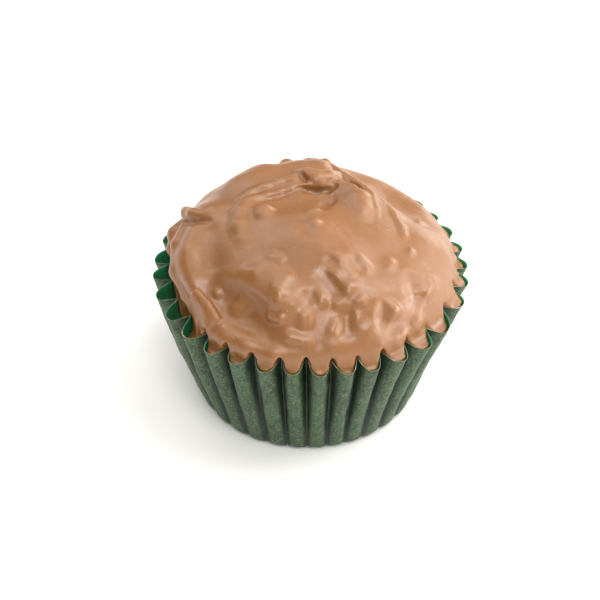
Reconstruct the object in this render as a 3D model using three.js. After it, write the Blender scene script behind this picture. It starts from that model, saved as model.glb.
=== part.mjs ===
// A chocolate coconut cup: shredded coconut bound and coated in milk chocolate, set in a pleated paper case.
// Millimetres, +Z up. The case stands on z = 0 round the Z axis, and the side shown to the viewer faces -Y.
import * as THREE from "three";

// The paper case: a flat round base, a leaning wall, and pleats that deepen towards the rim.
const PLEATS = 33;
const BASE_RADIUS = 18.0;
const BASE_SHIFT = 0.4;
const BASE_SHIFT_BEARING = 180;
const RIM_RADIUS = 25.0;
const OUTER_FOLD_HEIGHT = 22.5;
const INNER_FOLD_HEIGHT = 23.3;
const PAPER = 0.25;
const CORNER_RADIUS = 1.4;
const PLEAT_DEPTH_AT_BASE = 0.35;
const PLEAT_DEPTH_AT_RIM = 2.5;
const FRONT_PLEAT_EXTRA = 0.35;
const FIRST_FOLD_BEARING = 153.5;
// Degrees that each outer fold stands off its even place, counter-clockwise from the first.
const FOLD_SHIFTS = [
  0, -2, -1, -2, -1.5, -0.5, 1, 2, 1.5, 2, 1, 0, -1, -3, -3, -2.5, -2.5,
  2.5, 3.5, 2, 1, 1, 0.5, -1, -0.5, 1, 2, 0.5, -1, -1.5, 0, 1, 0.5,
];
// Where the filling swells or dents the rim: bearing and width in degrees, and how far.
const RIM_SWELLS = [
  { bearing: 315, width: 24, by: 0.6 },
  { bearing: 265, width: 15, by: -0.5 },
];
const WALL_BULGE = 0.4;
const WALL_BULGE_BEARING = 195;

// One pleat across: share of its width from the outer fold's middle, and share of the pleat's depth there.
const PLEAT_SECTION = [
  [0, 0],
  [0.2, 0.08],
  [0.34, 0.4],
  [0.42, 0.74],
  [0.5, 1],
];
const CASE_LEVELS = [0, 0.018, 0.062, 0.5, 1];

// The chocolate: it fills the case with a small gap and domes well above the rim.
const GAP = 0.3;
const PLEAT_GAP_SHARE = 0.075;
const DOME_RADIUS = 23.7;
const DOME_FOOT = 21.5;
const DOME_RISE = 13.4;
const DOME_LEAN = -0.9;
const DOME_FLANK_POWER = 2.25;
const DOME_CROWN_POWER = 1.65;
const SETBACK = 3.0;
const SETBACK_BEARING = 192;
const SETBACK_WIDTH = 28;
const COLLAR_OUTER_HEIGHT = 22.0;
const COLLAR_INNER_HEIGHT = 23.9;
const COLLAR_OUTER_SETBACK_DROP = 3.0;
const COLLAR_INNER_SETBACK_DROP = 0.5;
const DOME_RINGS = 33;
const LOWEST_RAY = 66;
const RAY_ORIGIN_HEIGHT = 14;

// Swells of the dome and the swirl left by the spoon, through points x, y, each with its radius and its rise
// over the surface shaped so far. A hollow's last number is how far it sinks.
const SWELLS = [
  { name: "back shoulder", blend: 3, path: [[-10.5, 10, 3.5, 0.7], [-8, 13, 3.2, 0.8]] },
  { name: "crown", blend: 2.5, path: [[-2, 14.5, 3, 0.5], [1.5, 14.5, 3, 0.8]] },
  {
    name: "left lobe",
    blend: 3,
    path: [
      [-17, 3, 3.6, 0.7],
      [-18, -5, 3.4, 0.8],
      [-17.6, -9.6, 2.6, 0.5],
    ],
  },
  { name: "middle face", blend: 4, path: [[0, -7, 5, 0.4], [4, -11, 5, 0.4]] },
  { name: "right side", blend: 4, path: [[18.6, -3, 3.5, 0.3], [18, -8, 3.5, 0.3]] },
  { name: "lower right face", blend: 4, path: [[9, -15.5, 4, 0.4], [14, -12.5, 4, 0.4]] },
  {
    name: "ridge beside the hollow",
    blend: 2.5,
    path: [
      [-6.6, -13, 2.4, 0.4],
      [-3.4, -16.6, 2.4, 0.5],
    ],
  },
];
const HOLLOWS = [
  {
    name: "bowl under the swirl",
    blend: 2.4,
    path: [
      [-5.2, 2.8, 5, 0.2],
      [-2, 3.6, 6, 0.5],
      [0.8, 4, 5, 0.7],
    ],
  },
  {
    name: "crescent beside the tongue",
    blend: 1,
    path: [
      [2.9, 4.8, 1, 0.4],
      [2.6, 2.8, 1.1, 0.45],
      [1.6, 0.9, 1, 0.2],
    ],
  },
  { name: "valley in the left face", blend: 2.4, path: [[-15.4, -3, 2, 0.6], [-15, -8.6, 2.2, 0.9]] },
  {
    name: "hollow beside the flat flake",
    blend: 1.5,
    path: [
      [-14.6, -12.6, 3, 1],
      [-12.4, -15.2, 3.6, 1.6],
      [-9.8, -17.4, 3.6, 1.7],
      [-7, -19.6, 2.6, 1],
    ],
  },
  {
    name: "flat right flank",
    blend: 3,
    path: [
      [8.5, 14, 6, 1.6],
      [13, 10.5, 6, 2.1],
      [17, 7, 5, 1.7],
    ],
  },
];
const FOLDS = [
  {
    name: "smooth foot, left",
    blend: 0.8,
    path: [
      [-15.0, -16.2, 1.6, 0.1],
      [-13, -18.8, 1.6, 0.5],
      [-9.8, -20.6, 1.6, 0.6],
      [-5.4, -22.2, 1.4, 0.5],
    ],
  },
  { name: "smooth foot, front", blend: 0.8, path: [[-5.4, -22.2, 1.4, 0.5], [1, -22.5, 1.4, 0.3]] },
  { name: "smooth foot, right", blend: 2, path: [[4, -21.6, 2, 0.3], [10, -19.8, 2.4, 0.3]] },
  {
    name: "upper lip of the swirl",
    blend: 0.6,
    path: [
      [-11, 4.3, 0.9, 0.2],
      [-9.4, 5.2, 1, 0.4],
      [-7.6, 6, 1.1, 0.6],
      [-5, 7.2, 1.2, 0.7],
      [-2.8, 8.2, 1.3, 0.7],
    ],
  },
  {
    name: "lower lip of the swirl",
    blend: 0.6,
    path: [
      [-10.2, 3.3, 0.8, 0.1],
      [-6.8, 4.5, 0.8, 0.45],
      [-5, 5.2, 0.8, 0.5],
      [-3, 6.1, 0.9, 0.5],
      [-0.6, 7.2, 1, 0.5],
    ],
  },
  {
    name: "ridge turning down from the lips",
    blend: 1.2,
    path: [
      [-10.2, 3.4, 1, 0.3],
      [-11, 0.6, 1.2, 0.5],
      [-11.1, -2.6, 1.2, 0.5],
      [-10.4, -5.6, 1.2, 0.1],
    ],
  },
  {
    name: "roll over the bowl",
    blend: 0.5,
    path: [
      [-1.8, 10.8, 1.3, 0.4],
      [-0.6, 9.2, 1.5, 0.9],
      [0.9, 8.6, 1.7, 1.3],
      [2.7, 9.2, 1.6, 1.1],
      [3.8, 10.8, 1.3, 0.6],
    ],
  },
  {
    name: "tongue beside the bowl",
    blend: 0.9,
    path: [
      [4.8, 7.4, 1, 0.5],
      [6.6, 5.8, 1.7, 0.8],
      [7.7, 3.4, 2.4, 1.1],
      [8, 1, 2.1, 0.7],
      [8, -1, 1.6, 0.1],
    ],
  },
  {
    name: "strand down the right",
    blend: 0.5,
    path: [
      [3.4, 14.8, 0.9, 0.4],
      [5.2, 11.4, 0.9, 0.8],
      [6.8, 9, 0.8, 0.9],
      [8.3, 6.6, 0.8, 0.8],
      [10.1, 1.4, 0.6, 0.4],
    ],
  },
  {
    name: "outer strand",
    blend: 0.6,
    path: [
      [5, 15, 0.9, 0.4],
      [7.8, 12, 0.8, 0.45],
      [9.8, 8.8, 0.8, 0.4],
      [13, 1.8, 0.8, 0.35],
      [14.2, -2, 0.8, 0.4],
    ],
  },
  {
    name: "lobes outside the left lip",
    blend: 1.8,
    path: [
      [-20.2, 8.0, 1.4, 0.3],
      [-21.2, 5.4, 1.8, 0.6],
      [-21.6, 2.8, 1.8, 0.6],
      [-21.8, 0.6, 1.6, 0.3],
    ],
  },
  {
    name: "left lip",
    blend: 0.7,
    path: [
      [-19.3, 2.6, 1.1, 0.5],
      [-20.2, -1.6, 1.3, 0.9],
      [-20.7, -5.8, 1.3, 0.9],
      [-20.3, -9.6, 1.2, 0.6],
      [-19, -13, 1, 0.2],
    ],
  },
  {
    name: "knob over the left lip",
    blend: 0.9,
    path: [
      [-19.2, 7.8, 0.8, 0.9],
      [-19.1, 6.4, 1.1, 1.1],
      [-18.8, 4.6, 1.1, 1.2],
      [-17.8, 3, 1.1, 0.8],
      [-16.2, 1.6, 0.9, 0.35],
    ],
  },
];
// Creases pressed in after the lumps stand.
const CREASES = [
  {
    name: "crease under the roll",
    blend: 0.6,
    path: [
      [-0.6, 6.3, 0.9, 0.9],
      [1.2, 6.3, 1, 1.2],
      [2.8, 6.5, 0.9, 0.8],
    ],
  },
  {
    name: "crease beside the strand",
    blend: 0.6,
    path: [
      [5, 8.7, 0.8, 0.6],
      [5.8, 7.8, 0.8, 1],
      [7, 6.7, 0.8, 0.8],
    ],
  },
];

// Coated lumps and flakes that show: middle x, y, bearing of the long way, length, width and rise.
const FLAKES = [
  { x: -7.4, y: -0.4, turn: 80, long: 3.8, wide: 3.0, rise: 0.9 },
  { x: 0.4, y: -0.8, turn: 40, long: 2.0, wide: 1.6, rise: 0.45 },
  { x: -15.2, y: 1.6, turn: 30, long: 1.8, wide: 1.4, rise: 0.4 },
  { x: -0.2, y: -4.6, turn: 15, long: 2.6, wide: 1.8, rise: 0.5 },
  { x: -12.1, y: -16.0, turn: 70, long: 2.0, wide: 1.6, rise: 0.5 },
  { x: -9.0, y: -12.0, turn: 160, long: 3.0, wide: 1.6, rise: 0.2 },
  { x: -5.2, y: -10.4, turn: 160, long: 2.8, wide: 1.4, rise: 0.25 },
  { x: -4.6, y: -16.4, turn: 75, long: 2.4, wide: 1.8, rise: 0.5 },
  { x: -4.8, y: -18.8, turn: 170, long: 2.4, wide: 1.4, rise: 0.4 },
  { x: -0.8, y: -19.1, turn: 80, long: 2.2, wide: 1.6, rise: 0.5 },
  { x: -1.6, y: -21.2, turn: 170, long: 4.2, wide: 1.6, rise: 0.5 },
  { x: 1.6, y: -16.7, turn: 60, long: 1.8, wide: 1.5, rise: 0.4 },
  { x: 3.8, y: -10.8, turn: 150, long: 2.2, wide: 1.5, rise: 0.4 },
  { x: 7.8, y: -10.9, turn: 140, long: 2.6, wide: 1.5, rise: 0.4 },
  { x: 3.9, y: -13.9, turn: 135, long: 3.2, wide: 1.5, rise: 0.6 },
  { x: 5.6, y: -15.0, turn: 60, long: 1.8, wide: 1.5, rise: 0.4 },
  { x: 4.1, y: -17.0, turn: 20, long: 1.7, wide: 1.5, rise: 0.4 },
  { x: 7.1, y: -16.3, turn: 20, long: 1.7, wide: 1.5, rise: 0.35 },
  { x: 3.6, y: -19.8, turn: 60, long: 2.0, wide: 1.5, rise: 0.4 },
  { x: 8.4, y: -19.2, turn: 40, long: 2.2, wide: 1.7, rise: 0.35 },
  { x: 11.6, y: -16.2, turn: 70, long: 2.0, wide: 1.6, rise: 0.5 },
  { x: 11.8, y: -9.7, turn: 80, long: 2.0, wide: 1.5, rise: 0.4 },
  { x: 15.0, y: -6.1, turn: 90, long: 1.7, wide: 1.5, rise: 0.4 },
  { x: 17.1, y: -11.0, turn: 65, long: 2.4, wide: 1.5, rise: 0.4 },
  { x: 13.2, y: -18.2, turn: 40, long: 2.6, wide: 1.8, rise: 0.4 },
  { x: 15.8, y: -15.6, turn: 60, long: 2.2, wide: 1.7, rise: 0.4 },
  { x: 18.4, y: 6.0, turn: 60, long: 2.6, wide: 2.2, rise: 0.4 },
];
const FLAKE_BLEND = 1.0;
// The broad flat flake low on the left: the ends of its two long edges as x, y and rise.
const FLAT_FLAKE = {
  left: [[-17.9, -12.2, 0.5], [-15.8, -14.8, 0.1]],
  right: [[-17.0, -12.1, 1.0], [-14.6, -16.0, 0.9]],
  thickness: 1.4,
  blend: 1.2,
  ribs: 4,
};
// The side turned away has lumps of the same kind, placed by a seeded draw.
const BACK_FLAKES = 34;
const NEAREST_BACK_FLAKE = 18;
const SEED = 4268;

const CHOCOLATE_COLOR = 0xab7148;
const CASE_COLOR = 0x5f7f5f;

const degrees = (angle) => (angle * Math.PI) / 180;
const mix = (a, b, share) => a + (b - a) * share;
const angleBetween = (a, b) => ((((a - b + 180) % 360) + 360) % 360) - 180;
const bell = (bearing, middle, width) => Math.exp(-((angleBetween(bearing, middle) / width) ** 2));

// A repeatable stream of numbers from 0 to 1.
function makeRandom(seed) {
  let state = seed >>> 0;
  return () => {
    state = (Math.imul(state, 1664525) + 1013904223) >>> 0;
    return state / 4294967296;
  };
}

// The bearing in degrees of an outer fold, counted on past the last one.
function foldBearing(index) {
  const turn = Math.floor(index / PLEATS);
  const place = index - turn * PLEATS;
  return FIRST_FOLD_BEARING + (360 * index) / PLEATS + FOLD_SHIFTS[place];
}

// The bearing of a place in a pleat, from -0.5 to 0.5 of its width round the outer fold.
function pleatBearing(index, place) {
  const fold = foldBearing(index);
  const next = foldBearing(index + Math.sign(place));
  return mix(fold, next, Math.abs(place));
}

// The share of the pleat's depth at a place across it.
function pleatShare(place) {
  const across = Math.min(Math.abs(place), 0.5);
  const end = Math.max(1, PLEAT_SECTION.findIndex(([share]) => share >= across));
  const [x0, y0] = PLEAT_SECTION[end - 1];
  const [x1, y1] = PLEAT_SECTION[end];
  return mix(y0, y1, (across - x0) / (x1 - x0));
}

// The places across one pleat, all the way from one inner fold to just before the next.
function placesAcross(shares) {
  const left = shares.slice(1).reverse().map((share) => -share);
  return [...left, ...shares.slice(0, -1)];
}

// The wall's outer radius at a level from 0 at the base to 1 at the rim.
function wallRadius(bearing, level) {
  const swell = RIM_SWELLS.reduce((sum, s) => sum + s.by * bell(bearing, s.bearing, s.width), 0);
  const base = BASE_RADIUS + BASE_SHIFT * Math.cos(degrees(bearing - BASE_SHIFT_BEARING));
  const leaning = mix(base, RIM_RADIUS + swell, level);
  const bulge = WALL_BULGE * Math.cos(degrees(bearing - WALL_BULGE_BEARING)) * Math.sin(Math.PI * level);
  const below = Math.max(0, CORNER_RADIUS - level * OUTER_FOLD_HEIGHT);
  const corner = CORNER_RADIUS - Math.sqrt(CORNER_RADIUS ** 2 - below ** 2);
  return leaning + bulge - corner;
}

function pleatDepth(bearing, level) {
  const front = FRONT_PLEAT_EXTRA * Math.cos(degrees(bearing - 270));
  return mix(PLEAT_DEPTH_AT_BASE, PLEAT_DEPTH_AT_RIM + front, level);
}

// A point in the middle of the paper.
function paperPoint(index, place, level) {
  const bearing = pleatBearing(index, place);
  const share = pleatShare(place);
  const radius = wallRadius(bearing, level) - PAPER / 2 - share * pleatDepth(bearing, level);
  const height = level * mix(OUTER_FOLD_HEIGHT, INNER_FOLD_HEIGHT, share) + PAPER / 2;
  const angle = degrees(bearing);
  return new THREE.Vector3(radius * Math.cos(angle), radius * Math.sin(angle), height);
}

// A closed mesh from rings of points, each ring listed counter-clockwise, fanned shut at both ends.
function closedRings(rings, startPoint, endPoint) {
  const positions = [startPoint, ...rings.flat(), endPoint];
  const count = rings[0].length;
  const last = positions.length - 1;
  const at = (ring, i) => 1 + ring * count + (i % count);
  const faces = [];
  for (let i = 0; i < count; i++) {
    faces.push(0, at(0, i + 1), at(0, i));
    faces.push(last, at(rings.length - 1, i), at(rings.length - 1, i + 1));
  }
  for (let ring = 0; ring + 1 < rings.length; ring++) {
    for (let i = 0; i < count; i++) {
      faces.push(at(ring, i), at(ring, i + 1), at(ring + 1, i + 1));
      faces.push(at(ring, i), at(ring + 1, i + 1), at(ring + 1, i));
    }
  }
  return meshGeometry(positions, faces);
}

function meshGeometry(points, faces) {
  const geometry = new THREE.BufferGeometry().setFromPoints(points);
  geometry.setIndex(faces);
  geometry.computeVertexNormals();
  return geometry;
}

// The outward direction of the paper at each point of a ring, along the section.
function sectionNormals(ring) {
  const count = ring.length;
  return ring.map((point, i) => {
    const along = ring[(i + 1) % count].clone().sub(ring[(i + count - 1) % count]);
    return new THREE.Vector3(along.y, -along.x, 0).normalize();
  });
}

function makeCase() {
  const places = placesAcross(PLEAT_SECTION.map(([share]) => share));
  const middles = CASE_LEVELS.map((level) => {
    const ring = [];
    for (let index = 0; index < PLEATS; index++) {
      places.forEach((place) => ring.push(paperPoint(index, place, level)));
    }
    return ring;
  });
  const shifted = (ring, side) => {
    const normals = sectionNormals(ring);
    return ring.map((point, i) => point.clone().addScaledVector(normals[i], (side * PAPER) / 2));
  };
  const outside = middles.map((ring) => shifted(ring, 1));
  const inside = middles.map((ring) => shifted(ring, -1)).reverse();
  outside[0].forEach((point) => point.setZ(0));
  inside.at(-1).forEach((point) => point.setZ(PAPER));
  const under = new THREE.Vector3(0, 0, 0);
  const over = new THREE.Vector3(0, 0, PAPER);
  return closedRings([...outside, ...inside], under, over);
}

function setback(bearing) {
  return bell(bearing, SETBACK_BEARING, SETBACK_WIDTH);
}

// The dome's height over x, y, and its outward direction there. The dome leans a little to one side.
function domeHeight(x, y) {
  let up = 0.5;
  for (let pass = 0; pass < 6; pass++) {
    const out = Math.min(0.995, Math.hypot(x - DOME_LEAN * up, y) / DOME_RADIUS);
    up = (1 - out ** DOME_FLANK_POWER) ** (1 / DOME_CROWN_POWER);
  }
  return DOME_FOOT + DOME_RISE * up;
}

function domeNormal(x, y) {
  const step = 0.5;
  const slopeX = (domeHeight(x + step, y) - domeHeight(x - step, y)) / (2 * step);
  const slopeY = (domeHeight(x, y + step) - domeHeight(x, y - step)) / (2 * step);
  return new THREE.Vector3(-slopeX, -slopeY, 1).normalize();
}

// How far a point lies outside the plain dome, near its surface. On one side the dome's foot stands back.
function domeDistance(point) {
  const up = Math.max(0.02, (point.z - DOME_FOOT) / DOME_RISE);
  const x = point.x - DOME_LEAN * up;
  const bearing = THREE.MathUtils.radToDeg(Math.atan2(point.y, x));
  const atFoot = 1 - THREE.MathUtils.smoothstep(up, 0.3, 0.56);
  const radius = DOME_RADIUS - SETBACK * atFoot * setback(bearing);
  const out = Math.hypot(x, point.y) / radius;
  const value = out ** DOME_FLANK_POWER + up ** DOME_CROWN_POWER - 1;
  const slopeOut = (DOME_FLANK_POWER * out ** (DOME_FLANK_POWER - 1)) / radius;
  const slopeUp = (DOME_CROWN_POWER * up ** (DOME_CROWN_POWER - 1)) / DOME_RISE;
  return value / Math.hypot(slopeOut, slopeUp);
}

// A ball whose top stands rise over the surface shaped so far, or whose foot sinks as far into it.
function ballOnSurface(field, [x, y, radius, rise], side) {
  const start = new THREE.Vector3(x, y, domeHeight(x, y));
  const normal = domeNormal(x, y);
  let depth = 0;
  for (let pass = 0; pass < 3; pass++) {
    depth += field(start.clone().addScaledVector(normal, -depth));
  }
  return { center: start.addScaledVector(normal, side * (rise - radius) - depth), radius };
}

function rodDistance(point, rod) {
  const axis = rod.to.center.clone().sub(rod.from.center);
  const offset = point.clone().sub(rod.from.center);
  const share = THREE.MathUtils.clamp(offset.dot(axis) / axis.lengthSq(), 0, 1);
  const radius = mix(rod.from.radius, rod.to.radius, share);
  return offset.addScaledVector(axis, -share).length() - radius;
}

function flakePath({ x, y, turn, long, wide, rise }) {
  const half = Math.max(0.1, (long - wide) / 2);
  const dx = half * Math.cos(degrees(turn));
  const dy = half * Math.sin(degrees(turn));
  return [
    [x - dx, y - dy, wide / 2, rise * 0.8],
    [x + dx, y + dy, wide / 2, rise],
  ];
}

function backFlakes() {
  const random = makeRandom(SEED);
  const flakes = [];
  for (let i = 0; i < BACK_FLAKES; i++) {
    const bearing = degrees(mix(-8, 188, (i + random()) / BACK_FLAKES));
    const out = mix(11, 21.5, Math.sqrt(random()));
    const flake = {
      x: out * Math.cos(bearing),
      y: out * Math.sin(bearing),
      turn: 360 * random(),
      long: mix(2.2, 5.5, random()),
      wide: mix(1.7, 2.8, random()),
      rise: mix(0.6, 1.1, random()),
    };
    if (flake.y > NEAREST_BACK_FLAKE) flakes.push(flake);
  }
  return flakes;
}

// The nearest way to join two distances with a soft fillet.
function softMin(a, b, blend) {
  const overlap = Math.max(blend - Math.abs(a - b), 0) / blend;
  return Math.min(a, b) - (overlap * overlap * blend) / 4;
}

// Rods laid close together from one long edge of the flat flake to the other.
function flatFlakePaths({ left, right, thickness, ribs }) {
  const between = (a, b, share) => a.map((value, i) => mix(value, b[i], share));
  return Array.from({ length: ribs }, (_, i) => {
    const share = i / (ribs - 1);
    const ends = [0, 1].map((end) => between(left[end], right[end], share));
    return ends.map(([x, y, rise]) => [x, y, thickness / 2, rise]);
  });
}

// The chocolate's surface as a distance, negative inside. Each feature stands on what was shaped before it.
function makeChocolateField() {
  const rods = [];
  const field = (point) => rods.reduce((distance, rod) => {
    const toRod = rodDistance(point, rod);
    return rod.hollow ? -softMin(-distance, toRod, rod.blend) : softMin(distance, toRod, rod.blend);
  }, domeDistance(point));
  const add = (path, blend, hollow = false) => {
    const balls = path.map((knot) => ballOnSurface(field, knot, hollow ? -1 : 1));
    balls.slice(1).forEach((ball, i) => rods.push({ from: balls[i], to: ball, blend, hollow }));
  };
  SWELLS.forEach(({ path, blend }) => add(path, blend));
  HOLLOWS.forEach(({ path, blend }) => add(path, blend, true));
  FOLDS.forEach(({ path, blend }) => add(path, blend));
  [...FLAKES, ...backFlakes()].forEach((flake) => add(flakePath(flake), FLAKE_BLEND));
  flatFlakePaths(FLAT_FLAKE).forEach((path) => add(path, FLAT_FLAKE.blend));
  CREASES.forEach(({ path, blend }) => add(path, blend, true));
  return field;
}

// Where a ray from inside the dome leaves the chocolate, coming in from outside.
function surfaceAlong(field, origin, direction) {
  let reach = 29;
  const point = new THREE.Vector3();
  for (let step = 0; step < 90; step++) {
    point.copy(origin).addScaledVector(direction, reach);
    const distance = field(point);
    if (distance < 0.01) break;
    reach -= Math.max(0.01, 0.6 * distance);
  }
  return point.clone();
}

// The chocolate's outline inside the case, narrower than each pleat by the gap on both sides.
function liningPoint(index, place, height) {
  const bearing = pleatBearing(index, place);
  const share = pleatShare(Math.abs(place) + PLEAT_GAP_SHARE);
  const level = height / mix(OUTER_FOLD_HEIGHT, INNER_FOLD_HEIGHT, share);
  const inset = PAPER + GAP + share * pleatDepth(bearing, level);
  const radius = wallRadius(bearing, level) - inset;
  const angle = degrees(bearing);
  return new THREE.Vector3(radius * Math.cos(angle), radius * Math.sin(angle), height);
}

function liningRing(heightAt) {
  const places = placesAcross([0, 0.18, 0.36, 0.5]);
  const ring = [];
  for (let index = 0; index < PLEATS; index++) {
    places.forEach((place) => {
      const share = pleatShare(Math.abs(place) + PLEAT_GAP_SHARE);
      const height = heightAt(pleatBearing(index, place), share);
      ring.push(liningPoint(index, place, height));
    });
  }
  return ring;
}

function collarHeight(bearing, share) {
  const full = mix(COLLAR_OUTER_HEIGHT, COLLAR_INNER_HEIGHT, share);
  const drop = mix(COLLAR_OUTER_SETBACK_DROP, COLLAR_INNER_SETBACK_DROP, share);
  return full - drop * setback(bearing);
}

// Rings of the dome: one point more on each sixth of every ring, so that all triangles are about alike.
function domeRings(field, startBearing) {
  const origin = new THREE.Vector3(0, 0, RAY_ORIGIN_HEIGHT);
  const rings = [];
  for (let ring = 0; ring < DOME_RINGS; ring++) {
    const tilt = degrees((LOWEST_RAY * ring) / (DOME_RINGS - 1));
    const count = Math.max(1, 6 * ring);
    const points = [];
    for (let i = 0; i < count; i++) {
      const bearing = startBearing + (2 * Math.PI * i) / count;
      const direction = new THREE.Vector3(
        Math.sin(tilt) * Math.cos(bearing),
        Math.sin(tilt) * Math.sin(bearing),
        Math.cos(tilt),
      );
      points.push(surfaceAlong(field, origin, direction));
    }
    rings.push(points);
  }
  return rings;
}

// Triangles between a ring of 6n points and the next one out, of 6n + 6.
function joinGrowingRings(faces, innerStart, innerCount, outerStart, outerCount) {
  const inner = (i) => innerStart + (i % innerCount);
  const outer = (i) => outerStart + (i % outerCount);
  const perSixth = outerCount / 6;
  for (let sixth = 0; sixth < 6; sixth++) {
    for (let i = 0; i < perSixth; i++) {
      const out = sixth * perSixth + i;
      const inn = sixth * (perSixth - 1) + i;
      faces.push(inner(inn), outer(out), outer(out + 1));
      if (i + 1 < perSixth) faces.push(inner(inn), outer(out + 1), inner(inn + 1));
    }
  }
}

function makeChocolate() {
  const field = makeChocolateField();
  const collar = liningRing(collarHeight);
  const startBearing = Math.atan2(collar[0].y, collar[0].x);
  const dome = domeRings(field, startBearing);
  const floor = PAPER + GAP;
  const lower = [12, 1.6, floor].map((height) => liningRing(() => height));
  const rings = [...dome, collar, ...lower];
  const points = [...rings.flat(), new THREE.Vector3(0, 0, floor)];
  const faces = [];
  let start = 0;
  for (let ring = 0; ring + 1 < rings.length; ring++) {
    const count = rings[ring].length;
    const nextStart = start + count;
    const nextCount = rings[ring + 1].length;
    if (nextCount > count) {
      joinGrowingRings(faces, start, count, nextStart, nextCount);
    } else {
      for (let i = 0; i < count; i++) {
        const j = (i + 1) % count;
        faces.push(start + i, nextStart + i, nextStart + j);
        faces.push(start + i, nextStart + j, start + j);
      }
    }
    start = nextStart;
  }
  const count = rings.at(-1).length;
  for (let i = 0; i < count; i++) {
    faces.push(start + i, points.length - 1, start + ((i + 1) % count));
  }
  return meshGeometry(points, faces);
}

function namedMesh(name, geometry, color, roughness) {
  const material = new THREE.MeshStandardMaterial({ color, roughness, metalness: 0 });
  const mesh = new THREE.Mesh(geometry, material);
  mesh.name = name;
  return mesh;
}

const group = new THREE.Group();
group.add(namedMesh("paper_case", makeCase(), CASE_COLOR, 0.85));
group.add(namedMesh("chocolate", makeChocolate(), CHOCOLATE_COLOR, 0.4));

export default group;
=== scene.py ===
"""Looks of a chocolate coconut cup: a lumpy milk chocolate dome in a pleated green paper case.

Shapes are worked out in millimetres and written to meshes in metres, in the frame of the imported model.
"""

import math

import bpy
import numpy as np
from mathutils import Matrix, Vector


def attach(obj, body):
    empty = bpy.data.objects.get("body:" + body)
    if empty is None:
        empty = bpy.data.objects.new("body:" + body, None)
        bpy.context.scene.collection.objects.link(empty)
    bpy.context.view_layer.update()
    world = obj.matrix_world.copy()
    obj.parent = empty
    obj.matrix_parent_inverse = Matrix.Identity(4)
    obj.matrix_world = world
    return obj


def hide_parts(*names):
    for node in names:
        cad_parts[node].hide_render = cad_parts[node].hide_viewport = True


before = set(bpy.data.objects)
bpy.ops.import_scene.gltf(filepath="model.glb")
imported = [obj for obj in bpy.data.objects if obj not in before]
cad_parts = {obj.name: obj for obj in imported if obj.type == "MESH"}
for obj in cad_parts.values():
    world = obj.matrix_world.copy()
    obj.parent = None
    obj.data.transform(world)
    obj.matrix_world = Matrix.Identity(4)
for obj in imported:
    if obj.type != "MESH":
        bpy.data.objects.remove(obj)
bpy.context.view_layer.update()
MM = 0.001
SEED = 4268

# The paper case, in millimetres and degrees.
PLEATS = 33
BASE_RADIUS = 18.0
BASE_SHIFT = 0.4
BASE_SHIFT_BEARING = 180
RIM_RADIUS = 25.0
OUTER_FOLD_HEIGHT = 22.5
INNER_FOLD_HEIGHT = 23.3
CORNER_RADIUS = 1.4
PLEAT_DEPTH_AT_BASE = 0.2
PLEAT_DEPTH_AT_RIM = 2.7
FRONT_PLEAT_EXTRA = 0.35
PLEAT_ROUNDNESS = 2.1
FIRST_FOLD_BEARING = 153.5
FOLD_SHIFTS = [
    0, -2, -1, -2, -1.5, -0.5, 1, 2, 1.5, 2, 1, 0, -1, -3, -3, -2.5, -2.5,
    2.5, 3.5, 2, 1, 1, 0.5, -1, -0.5, 1, 2, 0.5, -1, -1.5, 0, 1, 0.5,
]
RIM_SWELLS = [(315, 24, 0.6), (265, 15, -0.5)]
WALL_BULGE = 0.4
WALL_BULGE_BEARING = 195
PAPER = 0.07
SHEET_INSET = 0.13
COLUMNS_PER_PLEAT = 20
WALL_ROWS = 44
CORNER_ROWS = 6
BASE_ROWS = 5

# The chocolate's dome.
DOME_RADIUS = 23.7
DOME_FOOT = 21.5
DOME_RISE = 13.4
DOME_LEAN = -0.9
DOME_FLANK_POWER = 2.25
DOME_CROWN_POWER = 1.65
SETBACK = 3.2
SETBACK_BEARING = 192
SETBACK_WIDTH = 28
COLLAR_HEIGHT = 22.2
COLLAR_SETBACK_DROP = 3.2
PAPER_CLEARANCE = 0.36
CHOCOLATE_FLOOR = 0.35
GRID_STEP = 0.26
BROAD_UNEVENNESS = 0.13
FINE_UNEVENNESS = 0.03
# Below this height the paper hides the chocolate: it stands further in there, with fewer faces.
HIDDEN_HEIGHT = 17.0
HIDDEN_CLEARANCE = 0.3
HIDDEN_SHARE = 0.58

# Swells, hollows, folds and crevices: blend, then x, y, radius and rise over the dome at each point passed.
SWELLS = [
    (3, [(-10.5, 10, 3.5, 0.7), (-8, 13, 3.2, 0.8)]),
    (2.5, [(-2, 14.5, 3, 0.5), (1.5, 14.5, 3, 0.8)]),
    (3, [(-17, 3, 3.6, 0.7), (-18, -5, 3.4, 0.8), (-17.6, -9.6, 2.6, 0.5)]),
    (4, [(0, -7, 5, 0.4), (4, -11, 5, 0.4)]),
    (4, [(18.6, -3, 3.5, 0.3), (18, -8, 3.5, 0.3)]),
    (4, [(9, -15.5, 4, 0.4), (14, -12.5, 4, 0.4)]),
    (2.5, [(-6.6, -13, 2.4, 0.4), (-3.4, -16.6, 2.4, 0.5)]),
]
HOLLOWS = [
    (2.4, [(-5.2, 2.8, 5, 0.2), (-2, 3.6, 6, 0.45), (0.8, 4.0, 5, 0.6)]),
    (1.0, [(2.9, 4.8, 0.9, 0.3), (2.6, 2.8, 1.0, 0.35), (1.6, 0.9, 0.9, 0.2)]),
    (2.4, [(-15.4, -3, 2, 0.6), (-15, -8.6, 2.2, 0.9)]),
    (1.5, [
        (-14.6, -12.6, 3.0, 1.1), (-12.4, -15.2, 3.4, 1.8), (-9.8, -17.4, 3.4, 1.9),
        (-7, -19.6, 2.6, 1.1),
    ]),
    (3, [(8.5, 14, 6, 1.6), (13, 10.5, 6, 2.1), (17, 7, 5, 1.7)]),
]
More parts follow.
